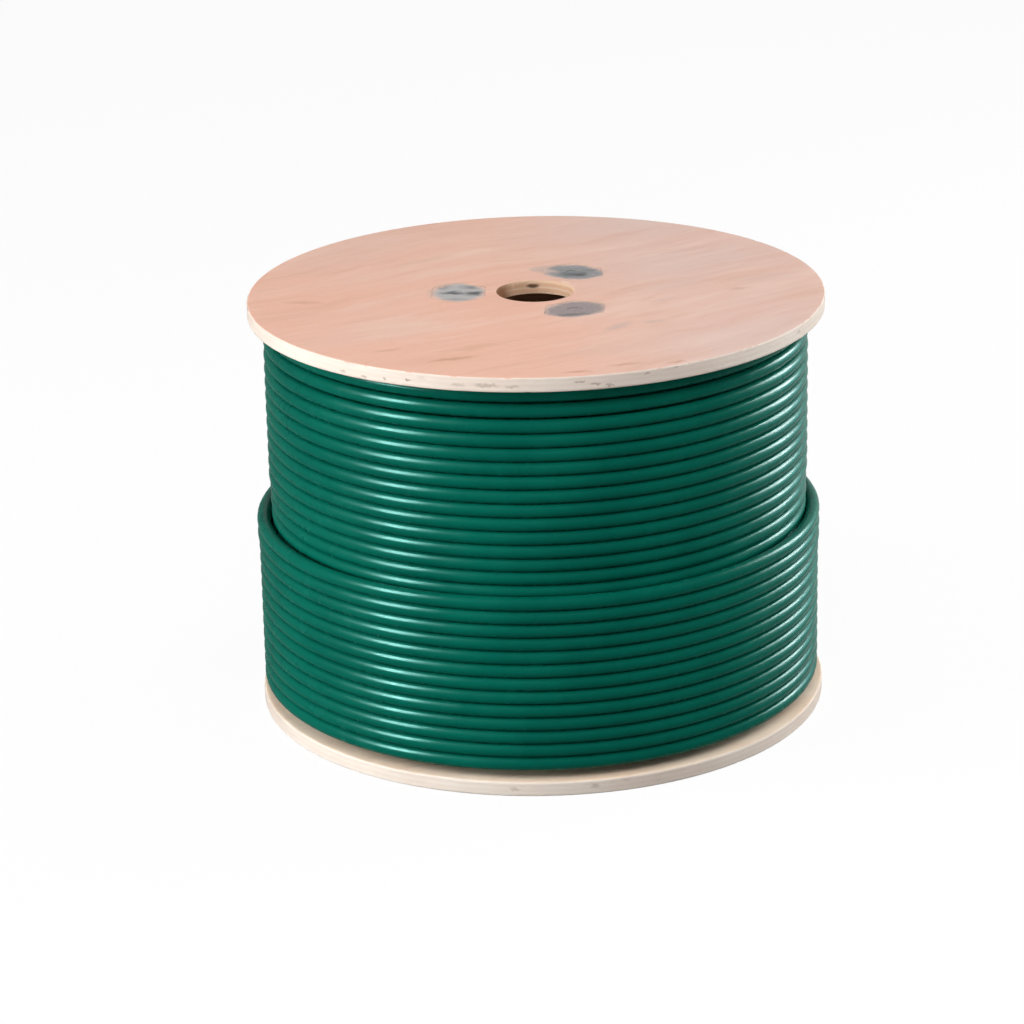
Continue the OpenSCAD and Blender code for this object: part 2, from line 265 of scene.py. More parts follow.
# a material with its shader and its place on the object
class Finish:
    def __init__(self, name):
        self.material = bpy.data.materials.new(name)
        self.material.use_nodes = True
        self.tree = self.material.node_tree
        self.tree.nodes.clear()
        self.shader = self.tree.nodes.new("ShaderNodeBsdfPrincipled")
        out = self.tree.nodes.new("ShaderNodeOutputMaterial")
        self.tree.links.new(self.shader.outputs[0], out.inputs["Surface"])
        self.place = self.tree.nodes.new("ShaderNodeTexCoord").outputs["Object"]

    def setShader(self, **values):
        for name, value in values.items():
            self.shader.inputs[name.replace("_", " ")].default_value = value

    def mapped(self, scale, turn=(0, 0, 0), move=(0, 0, 0), source=None, kind="POINT"):
        node = self.tree.nodes.new("ShaderNodeMapping")
        node.vector_type = kind
        self.tree.links.new(source or self.place, node.inputs["Vector"])
        node.inputs["Location"].default_value = move
        node.inputs["Rotation"].default_value = [math.radians(part) for part in turn]
        node.inputs["Scale"].default_value = scale
        return node.outputs[0]

    # coordinates along and across a grain that lies at an angle from X, drawn out by stretch
    def grain(self, angle, stretch, source=None):
        return self.mapped((1, 1 / stretch, 1), (0, 0, angle), source=source, kind="TEXTURE")

    def noise(self, vector, scale, detail=3, rough=0.5, distort=0, output="Fac"):
        node = self.tree.nodes.new("ShaderNodeTexNoise")
        self.tree.links.new(vector, node.inputs["Vector"])
        node.inputs["Scale"].default_value = scale
        node.inputs["Detail"].default_value = detail
        node.inputs["Roughness"].default_value = rough
        node.inputs["Distortion"].default_value = distort
        return node.outputs[output]

    def math(self, kind, first, second=0.0, clamp=False):
        return addMath(self.tree, kind, first, second, clamp)

    def vectorMath(self, kind, *sources):
        node = self.tree.nodes.new("ShaderNodeVectorMath")
        node.operation = kind
        for source, socket in zip(sources, node.inputs):
            feed(self.tree, source, socket)
        return node.outputs

    def range(self, value, low, high, newLow=0.0, newHigh=1.0):
        return addRange(self.tree, value, (low, high), (newLow, newHigh), "SMOOTHSTEP")

    def blend(self, share, first, second):
        return addBlend(self.tree, share, first, second)

    # soft blot with a ragged edge: middle and half sizes in millimetres, turn about Z in degrees
    def blot(self, vector, middle, size, turn=0, edge=0.5):
        place = self.mapped(
            [part * mm for part in size], (0, 0, turn), [part * mm for part in middle], vector, "TEXTURE"
        )
        return self.range(self.vectorMath("LENGTH", place)["Value"], 1.0, edge)

    # place shifted by a noise, for ragged edges
    def shaken(self, vector, scale, amount):
        spread = self.noise(vector, scale, 4, output="Color")
        shifted = self.vectorMath("MULTIPLY_ADD", spread, [2 * amount] * 3, vector)[0]
        return self.vectorMath("SUBTRACT", shifted, [amount] * 3)[0]

    def bump(self, height, strength, distance, under=None):
        node = self.tree.nodes.new("ShaderNodeBump")
        node.inputs["Strength"].default_value = strength
        node.inputs["Distance"].default_value = distance
        self.tree.links.new(height, node.inputs["Height"])
        if under:
            self.tree.links.new(under, node.inputs["Normal"])
        return node.outputs[0]

    def finish(self, colour, rough, normal=None):
        feed(self.tree, colour, self.shader.inputs["Base Color"])
        feed(self.tree, rough, self.shader.inputs["Roughness"])
        if normal:
            self.tree.links.new(normal, self.shader.inputs["Normal"])
        return self.material


# sheath, semi-gloss and smooth
sheathSet = {
    "green": (0.001, 0.112, 0.076, 1),
    "deepGreen": (0.0005, 0.096, 0.066, 1),
    "dust": (0.05, 0.12, 0.1, 1),
    "tint": (0.4, 1, 0.95, 1),
    "rough": (0.22, 0.30),
}


def makeSheath():
    finish = Finish("greenSheath")
    finish.setShader(IOR=1.46, Specular_IOR_Level=0.055, Specular_Tint=sheathSet["tint"])
    shade = finish.noise(finish.place, 22, 3, 0.55)
    colour = finish.blend(finish.range(shade, 0.35, 0.65), sheathSet["green"], sheathSet["deepGreen"])
    dust = finish.noise(finish.mapped((1, 1, 5)), 180, 4, 0.6)
    colour = finish.blend(finish.range(dust, 0.62, 0.8, 0, 0.12), colour, sheathSet["dust"])
    patches = finish.noise(finish.place, 60, 3)
    rough = finish.range(patches, 0.3, 0.7, *sheathSet["rough"])
    skin = finish.bump(finish.noise(finish.place, 420, 2), 0.06, 0.0001)
    waves = finish.bump(finish.noise(finish.place, 40, 2), 0.12, 0.0004, skin)
    return finish.finish(colour, rough, waves)


bareWood = {"IOR": 1.4, "Specular_IOR_Level": 0.02}

# veneer on the outer faces: pink, with a slanting grain
veneerSet = {
    "pink": (0.79, 0.475, 0.365, 1),
    "pale": (0.715, 0.525, 0.465, 1),
    "light": (0.83, 0.64, 0.55, 1),
    "tan": (0.66, 0.375, 0.27, 1),
    "brown": (0.46, 0.21, 0.12, 1),
    "grey": (0.42, 0.36, 0.34, 1),
    "grainTurn": 33,
    "sheenEdges": (-0.05, 0.08),  # metres across, where the painted sheen on the right half of the sheet sets in
    # middle x, y, half length, half width, turn, share, colour: marks in the veneer of the upper face
    "marks": [
        (-120, -13, 16, 5.0, -4, 0.30, "brown"),
        (-41, -116, 18, 3.6, 21, 0.50, "brown"),
        (19, -141.5, 10, 2.6, 4, 0.50, "brown"),
        (-74, -100, 11, 3.0, 24, 0.30, "brown"),
        (-30, -98, 28, 6.0, 24, 0.22, "brown"),
        (41, -67, 15, 5.4, 46, 0.34, "grey"),
        (60, -60, 11, 4.0, 20, 0.28, "grey"),
        (105, -3.4, 8, 4.0, 20, 0.30, "brown"),
        (43, -131, 13, 2.8, 12, 0.40, "brown"),
        (68, -129, 7, 3.0, 30, 0.45, "brown"),
        (66, -22, 12, 4.0, 30, 0.14, "grey"),
        (-60, 62, 30, 6.0, 36, 0.12, "brown"),
        (84, 74, 26, 5.0, 28, 0.14, "brown"),
        (-124, -34, 30, 15, 18, 0.16, "tan"),
        (-52, -118, 46, 12, 12, 0.20, "tan"),
        (120, 16, 26, 13, 24, 0.13, "grey"),
        (72, 6, 34, 12, 30, 0.09, "grey"),
        (26, -108, 42, 14, 20, 0.08, "grey"),
        (16.0, 15.6, 4.5, 2.4, -45, 0.75, "light"),
    ],
    # x, y, half length, half width, turn, share: grey bloom of the steel in the wood beside it
    "halos": [
        (-41.5, -0.5, 17.0, 20.5, 0, 0.55),
        (19.5, 35.0, 21.5, 16.0, -30, 0.50),
        (3.5, 41.0, 8.0, 8.5, 0, 0.40),
        (20.5, -34.5, 20.5, 15.5, 30, 0.36),
    ],
}
markReach = (216, 60)  # height of a mark's middle and half its depth, clear of the lower flange


def addMarks(finish, colour, place, marks, edge):
    height, depth = markReach
    for across, along, halfLong, halfWide, turn, share, tone in marks:
        spot = finish.blot(place, (across, along, height), (halfLong, halfWide, depth), turn, edge)
        colour = finish.blend(finish.math("MULTIPLY", spot, share), colour, tone)
    return colour


def makeVeneer():
    finish = Finish("pinkVeneer")
    finish.setShader(**bareWood)
    turn = veneerSet["grainTurn"]
    bent = finish.shaken(finish.place, 5, 0.03)
    sheet = finish.noise(finish.grain(turn, 2, bent), 3.2, 2, 0.5)
    # painted sheen: the sheet grows paler towards the right, on top of a random pale tone
    lean = finish.range(addAxis(finish.tree, bent, "X"), *veneerSet["sheenEdges"], 0, 0.65)
    sheenAndPaleShare = finish.math("ADD", lean, finish.range(sheet, 0.35, 0.7, -0.2, 0.45), True)
    colour = finish.blend(sheenAndPaleShare, veneerSet["pink"], veneerSet["pale"])
    broad = finish.noise(finish.grain(turn, 5, bent), 8, 4, 0.55)
    colour = finish.blend(finish.range(broad, 0.5, 0.72, 0, 0.42), colour, veneerSet["light"])
    colour = finish.blend(finish.range(broad, 0.48, 0.3, 0, 0.42), colour, veneerSet["tan"])
    streaks = finish.noise(finish.grain(turn, 9, bent), 20, 4, 0.6, 0.2)
    colour = finish.blend(finish.range(streaks, 0.52, 0.74, 0, 0.30), colour, veneerSet["tan"])
    colour = finish.blend(finish.range(streaks, 0.46, 0.28, 0, 0.24), colour, veneerSet["light"])
    fine = finish.noise(finish.grain(turn, 16, bent), 70, 4, 0.65)
    colour = finish.blend(finish.range(fine, 0.5, 0.75, 0, 0.20), colour, veneerSet["tan"])
    pores = finish.range(finish.noise(finish.grain(turn, 16, bent), 190, 2, 0.5), 0.64, 0.74)
    colour = finish.blend(finish.math("MULTIPLY", pores, 0.24), colour, veneerSet["brown"])
    ragged = finish.shaken(finish.place, 110, 0.0035)
    marks = [mark[:6] + (veneerSet[mark[6]],) for mark in veneerSet["marks"]]
    colour = addMarks(finish, colour, ragged, marks, 0.1)
    halos = [halo + (veneerSet["grey"],) for halo in veneerSet["halos"]]
    colour = addMarks(finish, colour, ragged, halos, 0.55)
    height = finish.math("SUBTRACT", fine, finish.math("MULTIPLY", pores, 0.8))
    rough = finish.range(fine, 0.3, 0.7, 0.62, 0.78)
    return finish.finish(colour, rough, finish.bump(height, 0.3, 0.0003))


# sawn rim: cream plies
rimSet = {
    "cream": (0.85, 0.765, 0.68, 1),
    "pinkish": (0.80, 0.65, 0.56, 1),
    "crossPly": (0.70, 0.57, 0.48, 1),
    "smudge": (0.32, 0.23, 0.17, 1),
    "leftDarkTone": (0.66, 0.56, 0.49, 1),
    "ply": 1.5,
    "radius": 150,
    "markDepth": 3,
    "dulled": ((-150, -10, 110), (55, 105, 400)),  # middle and half sizes of a darker, browner tone over the rim's left side
    # azimuth, height, half length, half height, share: marks on both rims
    "marks": [
        (-129.5, 214.6, 2.6, 0.9, 0.55),
        (-124.4, 214.2, 2.2, 0.8, 0.6),
        (-119.7, 214.8, 1.7, 0.8, 0.6),
        (-114.8, 216.0, 1.8, 0.9, 0.75),
        (-105.0, 215.6, 5.0, 1.3, 0.30),
        (-99.5, 215.9, 8.0, 1.5, 0.42),
        (-94.5, 215.5, 5.0, 1.2, 0.38),
        (-82.0, 217.4, 3.6, 0.8, 0.55),
        (-79.2, 215.6, 3.8, 0.9, 0.60),
        (-76.6, 214.4, 3.0, 0.8, 0.50),
        (-69.2, 218.1, 2.2, 0.7, 0.60),
        (-63.4, 219.2, 2.0, 0.7, 0.50),
        (-28.8, 216.9, 3.0, 1.0, 0.35),
        (-95.8, 3.8, 4.0, 1.2, 0.35),
        (-80.4, 4.4, 3.4, 1.0, 0.35),
    ],
}


# 0 in the middle of every other ply, 0.5 in the middle of those between
def plyOffset(finish, ply, scale):
    height = addAxis(finish.tree, finish.shaken(finish.place, scale, 0.0004), "Z")
    plies = finish.math("FRACT", finish.math("DIVIDE", height, 2 * ply * mm))
    return finish.math("ABSOLUTE", finish.math("SUBTRACT", plies, 0.5))


def makeRim():
    finish = Finish("creamRim")
    finish.setShader(**bareWood)
    cross = finish.range(plyOffset(finish, rimSet["ply"], 90), 0.20, 0.30)
    patches = finish.range(finish.noise(finish.place, 18, 3), 0.35, 0.65)
    colour = finish.blend(finish.math("MULTIPLY", patches, 0.45), rimSet["cream"], rimSet["pinkish"])
    colour = finish.blend(finish.math("MULTIPLY", cross, 0.22), colour, rimSet["crossPly"])
    fibres = finish.noise(finish.mapped((1, 1, 10)), 150, 4, 0.6)
    colour = finish.blend(finish.range(fibres, 0.5, 0.8, 0, 0.35), colour, rimSet["crossPly"])
    dirt = finish.noise(finish.mapped((1, 1, 3)), 40, 5, 0.7)
    colour = finish.blend(finish.range(dirt, 0.60, 0.80, 0, 0.30), colour, rimSet["smudge"])
    # the rim's left side is made darker and browner
    dull = finish.blot(finish.shaken(finish.place, 30, 0.01), *rimSet["dulled"], 0, 0.3)
    colour = finish.blend(finish.math("MULTIPLY", dull, 0.8), colour, rimSet["leftDarkTone"])
    ragged = finish.shaken(finish.place, 420, 0.0018)
    radius, depth = rimSet["radius"], rimSet["markDepth"]
    for azimuth, height, halfLong, halfHigh, share in rimSet["marks"]:
        turn = math.radians(azimuth)
        middle = (radius * math.cos(turn), radius * math.sin(turn), height)
        spot = finish.blot(ragged, middle, (depth, halfLong, halfHigh), azimuth, 0.35)
        colour = finish.blend(finish.math("MULTIPLY", spot, share), colour, rimSet["smudge"])
    return finish.finish(colour, 0.78, finish.bump(fibres, 0.4, 0.0004))


# raw ply edges and faces inside: tan
innerPlySet = {
    "tan": (0.72, 0.43, 0.26, 1),
    "paleTan": (0.84, 0.62, 0.46, 1),
    "glueAndShade": (0.26, 0.12, 0.06, 1),
    "knot": (0.06, 0.025, 0.012, 1),
    "ply": 1.5,
    # middle and half sizes of a knot and of painted shade on the wall's left side, both in the upper flange's
    # hole
    "knotPlace": ((-1.4, 20, 216.9), (4.6, 3, 1.5)),
    "shadePlace": ((-19.6, 5, 214.5), (17, 17, 13)),
}


def makeInnerPly(name, darkening):
    finish = Finish(name)
    finish.setShader(**bareWood)
    offset = plyOffset(finish, innerPlySet["ply"], 120)
    pale = finish.range(offset, 0.1, 0.4, 0.2, 0.8)
    colour = finish.blend(pale, innerPlySet["tan"], innerPlySet["paleTan"])
    fromGlue = finish.math("ABSOLUTE", finish.math("SUBTRACT", offset, 0.25))
    line = finish.range(fromGlue, 0.05, 0.01, 0, 0.22)
    colour = finish.blend(line, colour, innerPlySet["glueAndShade"])
    fibres = finish.noise(finish.mapped((1, 1, 9)), 160, 4, 0.6)
    colour = finish.blend(finish.range(fibres, 0.45, 0.8, 0, 0.45), colour, innerPlySet["tan"])
    knot = finish.blot(finish.shaken(finish.place, 300, 0.0008), *innerPlySet["knotPlace"], 0, 0.4)
    colour = finish.blend(finish.math("MULTIPLY", knot, 0.85), colour, innerPlySet["knot"])
    # painted shade over the left side of the hole's wall, where the edge keeps the light off
    shaded = finish.blot(finish.shaken(finish.place, 300, 0.002), *innerPlySet["shadePlace"], 0, 0.35)
    colour = finish.blend(finish.math("MULTIPLY", shaded, 0.95), colour, innerPlySet["glueAndShade"])
    # painted shade: the whole piece darkened by this share
    colour = finish.blend(darkening, colour, innerPlySet["glueAndShade"])
    return finish.finish(colour, 0.78, finish.bump(fibres, 0.5, 0.0004))


# the flanges' inner faces: plainer veneer, its tones lifted as painted light against the shade under the
# cable
backVeneerSet = {
    "cream": (0.97, 0.80, 0.64, 1),
    "peach": (0.93, 0.71, 0.54, 1),
    "tan": (0.55, 0.36, 0.25, 1),
    "grainTurn": 24,
}


def makeBackVeneer():
    finish = Finish("backVeneer")
    finish.setShader(**bareWood)
    turn = backVeneerSet["grainTurn"]
    bent = finish.shaken(finish.place, 6, 0.02)
    broad = finish.noise(finish.grain(turn, 4, bent), 10, 4, 0.55)
    colour = finish.blend(finish.range(broad, 0.35, 0.65), backVeneerSet["cream"], backVeneerSet["peach"])
    fine = finish.noise(finish.grain(turn, 16, bent), 70, 4, 0.65)
    colour = finish.blend(finish.range(fine, 0.5, 0.8, 0, 0.4), colour, backVeneerSet["tan"])
    return finish.finish(colour, 0.75, finish.bump(fine, 0.3, 0.0003))


# steel plates let into the wood: dull, stained, with painted shade beside the left rod's hole, and rubbed
# over with wood dust
plateSet = {
    "steel": (0.43, 0.42, 0.415, 1),
    "blue": (0.26, 0.265, 0.27, 1),
    "mauve": (0.30, 0.255, 0.25, 1),
    "dark": (0.10, 0.105, 0.11, 1),
    "dust": (0.72, 0.50, 0.42, 1),
    "height": 219,
    "tinted": 500,  # half depth of the tints, which reach the rods' lower ends
    # x, y, tone: what colours the whole of a plate
    "tints": [(20, 34.6, "blue"), (20, -34.6, "mauve")],
    # x, y, half length, half width, turn, share: dark stains, the first two painted shade beside the left
    # rod's hole
    "stainsAndShade": [
        # painted shade beside the left rod's hole
        (-43, 0.2, 10.0, 4.2, 0, 0.92),
        (-31.5, -1.8, 8.5, 5.6, 0, 0.96),
        (-50, 10, 9, 5.0, 25, 0.55),
        (-33, 9, 9, 5.5, -15, 0.60),
        (-55, -2, 3.5, 10, 0, 0.40),
        (-42, -13, 14, 3.5, 0, 0.28),
        (20, 30.5, 11.0, 6.0, 10, 0.70),
        (23.5, 29, 6.5, 5.0, 0, 0.97),
        (20, 35, 15, 9.0, 0, 0.22),
        (31, 38, 7, 5, 0, 0.30),
        (18, -43.5, 12, 3.2, 12, 0.60),
    ],
    "middles": [(-39.95, 0), (19.975, 34.6), (19.975, -34.6)],
    "bare": (15.0, 19.5),  # half sizes inside the worn, dusty borders
}


def makePlateSteel():
    finish = Finish("stainedSteel")
    finish.setShader(IOR=1.5, Specular_IOR_Level=0.05)
    ragged = finish.shaken(finish.place, 160, 0.0028)
    cloud = finish.noise(finish.grain(25, 2.4), 260, 4, 0.6)
    height, depth = plateSet["height"], plateSet["tinted"]
    colour = plateSet["steel"]
    for across, along, tone in plateSet["tints"]:
        whole = finish.blot(ragged, (across, along, height), (30, 30, depth), 0, 0.8)
        colour = finish.blend(whole, colour, plateSet[tone])
    colour = finish.blend(finish.range(cloud, 0.5, 0.75, 0, 0.35), colour, plateSet["dust"])
    stainsAndShade = [darkening + (plateSet["dark"],) for darkening in plateSet["stainsAndShade"]]
    colour = addMarks(finish, colour, ragged, stainsAndShade, 0.15)
    pale = finish.blot(ragged, (4.5, 38.5, height), (6, 12, 40), 60, 0.2)
    colour = finish.blend(finish.math("MULTIPLY", pale, 0.6), colour, plateSet["dust"])
    inside = 0.0
    for across, along in plateSet["middles"]:
        turn = math.degrees(math.atan2(along, across))
        middle = finish.blot(ragged, (across, along, height), (*plateSet["bare"], depth), turn, 0.66)
        inside = finish.math("MAXIMUM", inside, middle)
    colour = finish.blend(inside, plateSet["dust"], colour)
    rough = finish.range(cloud, 0.35, 0.65, 0.6, 0.8)
    return finish.finish(colour, rough, finish.bump(cloud, 0.35, 0.0003))


# zinc-plated steel, dulled
zincSet = {"grey": (0.40, 0.40, 0.41, 1), "dark": (0.20, 0.20, 0.21, 1), "bloom": (0.55, 0.56, 0.56, 1)}


def makeZinc():
    finish = Finish("dullZinc")
    finish.setShader(Metallic=0.75, IOR=1.8)
    cloud = finish.noise(finish.place, 120, 4, 0.6)
    colour = finish.blend(finish.range(cloud, 0.4, 0.65), zincSet["grey"], zincSet["bloom"])
    grime = finish.noise(finish.place, 260, 4, 0.7, 0.4)
    colour = finish.blend(finish.range(grime, 0.56, 0.72, 0, 0.7), colour, zincSet["dark"])
    rough = finish.range(cloud, 0.35, 0.65, 0.5, 0.68)
    return finish.finish(colour, rough, finish.bump(grime, 0.3, 0.0002))


# finishes of one mottle between two tones
mottledSet = {
    "nailWire": {
        "shader": {"Metallic": 1.0},
        "noise": (700, 3, 0.6),
        "edges": (0.45, 0.65),
        "tones": [(0.36, 0.36, 0.37, 1), (0.17, 0.15, 0.13, 1)],
        "rough": (0.34, 0.55),
        "bump": (0.3, 0.0001),
    },
    "foamInsulation": {
        "shader": {"IOR": 1.45, "Specular_IOR_Level": 0.3},
        "noise": (1600, 2),
        "edges": (0.4, 0.7),
        "tones": [(0.80, 0.80, 0.76, 1), (0.68, 0.67, 0.62, 1)],
        "rough": (0.5, 0.5),
        "bump": (0.3, 0.00008),
    },
    "drawnCopper": {
        "shader": {"Metallic": 1.0},
        "noise": (800, 3, 0.6),
        "edges": (0.4, 0.7),
        "tones": [(0.80, 0.42, 0.24, 1), (0.50, 0.22, 0.12, 1)],
        "rough": (0.22, 0.4),
        "bump": (0.15, 0.00005),
    },
}


def makeMottled(name):
    settings = mottledSet[name]
    finish = Finish(name)
    finish.setShader(**settings["shader"])
    mottle = finish.noise(finish.place, *settings["noise"])
    colour = finish.blend(finish.range(mottle, *settings["edges"]), *settings["tones"])
    rough = finish.range(mottle, 0.3, 0.7, *settings["rough"])
    return finish.finish(colour, rough, finish.bump(mottle, *settings["bump"]))


boardSet = {"brown": (0.46, 0.33, 0.21, 1), "dark": (0.34, 0.24, 0.15, 1), "fibre": (0.62, 0.5, 0.36, 1)}


def makeBoard():
    finish = Finish("woundBoard")
    finish.setShader(IOR=1.35, Specular_IOR_Level=0.15)
    spiral = finish.noise(finish.mapped((1, 1, 6)), 55, 5, 0.65)
    colour = finish.blend(finish.range(spiral, 0.35, 0.7), boardSet["brown"], boardSet["dark"])
    fibre = finish.noise(finish.place, 900, 3, 0.7)
    colour = finish.blend(finish.range(fibre, 0.6, 0.75, 0, 0.4), colour, boardSet["fibre"])
    return finish.finish(colour, 0.85, finish.bump(fibre, 0.35, 0.0002))


paperSet = {"buff": (0.74, 0.60, 0.38, 1), "crease": (0.62, 0.48, 0.28, 1), "blotch": (0.5, 0.38, 0.22, 1)}


def makeTapePaper():
    finish = Finish("crepedTape")
    finish.setShader(IOR=1.4, Specular_IOR_Level=0.25)
    creases = finish.noise(finish.mapped((3, 3, 1.2)), 420, 4, 0.6, 0.5)
    colour = finish.blend(finish.range(creases, 0.35, 0.7), paperSet["buff"], paperSet["crease"])
    blotch = finish.noise(finish.place, 110, 3)
    colour = finish.blend(finish.range(blotch, 0.5, 0.75, 0, 0.3), colour, paperSet["blotch"])
    return finish.finish(colour, 0.62, finish.bump(creases, 0.5, 0.00025))


sheath = makeSheath()
veneer = makeVeneer()
backVeneer = makeBackVeneer()
rimPly = makeRim()
innerPly = makeInnerPly("tanPly", 0.0)
# the hub disc, seen deep in the hole, darkened all over with painted shade
hubPly = makeInnerPly("hubPly", 0.55)
plateSteel = makePlateSteel()
zinc = makeZinc()
nailSteel = makeMottled("nailWire")
board = makeBoard()
insulation = makeMottled("foamInsulation")
copper = makeMottled("drawnCopper")
tapePaper = makeTapePaper()
print("wire spool: finishes")

# two layers of cable in view, one path each
cableSet = {
    "radius": 3.58,
    "pitch": 7.4,
    "stepsPerTurn": 120,
    "sides": 18,
    "startTurn": 90,  # degrees, at the back
    "crossFrom": 0.82,  # share of a turn that lies level before it crosses to the next place
    "lowerRadius": 132.17,
    "upperRadius": 138.46,
    "upperRise": 0.12,  # turns in which the upper layer comes out from the one under it
    "upperTop": 208.0,
    "upperPitch": 7.24,
    "upperTurns": 27,
    "drop": 1.9,  # how far the upper turns lie below an even pitch
    "dropFull": 3,  # turns by which the drop is there in full, begins to go, and is gone
    "dropHeld": 8,
    "dropEnd": 26,
    "coveredFrom": 14.9,
    "coverTurns": 0.3,
    "coveredRadius": 137.35,
    "outerRadius": 144.75,
    "outerRise": 0.16,
    "outerBottom": 16.0,
    "outerEnd": 108.85,
    "outerTurns": 13,
    "crossEase": 0.554,  # how far either layer gives way where the two cross
    "easeTurns": 0.8,
    "upperEaseFrom": 11.5,
    "outerEaseFrom": 10.125,
    "cutLead": 7.3,
    "upperLean": -1.0,
    "outerLean": -1.6,
    "waverOut": 0.06,
    "waverUp": 0.14,
}


# slow seeded wander of a turn, nearly the same in the turns beside it
def waver(turn, seed):
    angle = 2 * math.pi * turn
    spot = Vector((1.6 * math.cos(angle) + seed, 1.6 * math.sin(angle), 0.22 * turn))
    return noise.noise(spot)


# the layers sit a little to one side at the front
def cablePoint(angle, radius, height, lean=0.0):
    aside = lean * (0.5 - 0.5 * math.sin(angle))
    return Vector((radius * math.cos(angle) + aside, radius * math.sin(angle), height)) * mm


# pitches gone by: each turn lies level, then crosses to its next place at the back
def pitchesGone(turn):
    whole = math.floor(turn + 1e-9)
    return whole + easeStep((turn - whole - cableSet["crossFrom"]) / (1 - cableSet["crossFrom"]))


# the first turns under the flange lie wider apart, and the others make it up
def upperDrop(turn):
    share = (cableSet["dropEnd"] - turn) / (cableSet["dropEnd"] - cableSet["dropHeld"])
    return cableSet["drop"] * easeStep(turn / cableSet["dropFull"]) * min(max(share, 0.0), 1.0)


def upperPath():
    points = []
    steps = cableSet["stepsPerTurn"]
    for step in range(cableSet["upperTurns"] * steps + 1):
        turn = step / steps
        rise = easeStep(turn / cableSet["upperRise"])
        radius = cableSet["lowerRadius"] + (cableSet["upperRadius"] - cableSet["lowerRadius"]) * rise
        radius -= cableSet["crossEase"] * easeStep((turn - cableSet["upperEaseFrom"]) / cableSet["easeTurns"])
        eased = cableSet["upperRadius"] - cableSet["crossEase"] - cableSet["coveredRadius"]
        radius -= eased * easeStep((turn - cableSet["coveredFrom"]) / cableSet["coverTurns"])
        height = cableSet["upperTop"] - cableSet["upperPitch"] * pitchesGone(turn) - upperDrop(turn)
        settled = min(turn, 1.0)
        radius += cableSet["waverOut"] * waver(turn, 3.1) * settled
        height += cableSet["waverUp"] * waver(turn, 8.7) * settled
        angle = math.radians(cableSet["startTurn"] + 360 * turn)
        points.append(cablePoint(angle, radius, height, cableSet["upperLean"]))
    return points


def outerPath():
    points = []
    steps = cableSet["stepsPerTurn"]
    start = cableSet["upperTop"] - cableSet["upperPitch"] * cableSet["upperTurns"]
    pitch = (cableSet["outerEnd"] - cableSet["outerBottom"]) / cableSet["outerTurns"]
    for step in range(cableSet["outerTurns"] * steps + 1):
        turn = step / steps
        rise = easeStep(turn / cableSet["outerRise"])
        radius = cableSet["coveredRadius"] + (cableSet["outerRadius"] - cableSet["coveredRadius"]) * rise
        radius += cableSet["crossEase"] * easeStep((turn - cableSet["outerEaseFrom"]) / cableSet["easeTurns"])
        height = cableSet["outerBottom"] + pitch * pitchesGone(turn)
        height = start + (height - start) * rise
        settled = min(turn, cableSet["outerTurns"] - turn, 1.0)
        radius += cableSet["waverOut"] * waver(turn, 5.3) * settled
        height += cableSet["waverUp"] * waver(turn, 1.9) * settled
        angle = math.radians(cableSet["startTurn"] + 360 * turn)
        points.append(cablePoint(angle, radius, height, cableSet["outerLean"]))
    last = points[-1]
    for step in range(1, 4):
        points.append(last + Vector((-cableSet["cutLead"] * mm * step / 3, 0, 0)))
    return points


def addCable(name, points):
    curve = bpy.data.curves.new(name, "CURVE")
    curve.dimensions = "3D"
    curve.twist_mode = "Z_UP"
    curve.bevel_depth = cableSet["radius"] * mm
    curve.bevel_resolution = (cableSet["sides"] - 4) // 2
    curve.use_fill_caps = True
    spline = curve.splines.new("POLY")
    spline.points.add(len(points) - 1)
    for place, point in zip(points, spline.points):
        point.co = (place.x, place.y, place.z, 1)
    spline.use_smooth = True
    curve.materials.append(sheath)
    return addObject(name, curve)


upperCable = addCable("upperTurnsCable", upperPath())
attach(upperCable, "root")
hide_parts("cable_upper_turns")
outerCable = addCable("outerTurnsCable", outerPath())
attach(outerCable, "root")
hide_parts("cable_outer_turns")

# the cable's start inside the barrel: in through the wall, then up
tailSet = {"angle": 120, "from": 52.9, "bendAt": 45.7, "height": 33.5, "bend": 16, "top": 94.5}


def tailPath():
    turn = math.radians(tailSet["angle"])
    inward = tailSet["bendAt"] - tailSet["from"]
    route = [(tailSet["from"] + inward * step / 3, tailSet["height"]) for step in range(3)]
    for step in range(17):
        swing = math.radians(90 * step / 16)
        reach = tailSet["bendAt"] - tailSet["bend"] * math.sin(swing)
        route.append((reach, tailSet["height"] + tailSet["bend"] * (1 - math.cos(swing))))
    reach, low = route[-1]
    route += [(reach, low + (tailSet["top"] - low) * step / 6) for step in range(1, 7)]
    return [cablePoint(turn, reach, height) for reach, height in route]


tailCable = addCable("startTailCable", tailPath())
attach(tailCable, "root")
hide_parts("cable_start_tail")

# strip of tape that holds the outer end down, dipping a little between the turns
tapeSet = {
    "fromAngle": 77.7,
    "toAngle": 87.7,
    "low": 79.25,
    "high": 132.78,
    "slantLow": 110.68,
    "slantHigh": 117.98,
    "outerRadius": 149.05,
    "upperRadius": 142.21,
    "thick": 0.3,
    "dip": 0.55,
    "tear": 0.5,
    "acrossSteps": 28,
    "upSteps": 110,
}


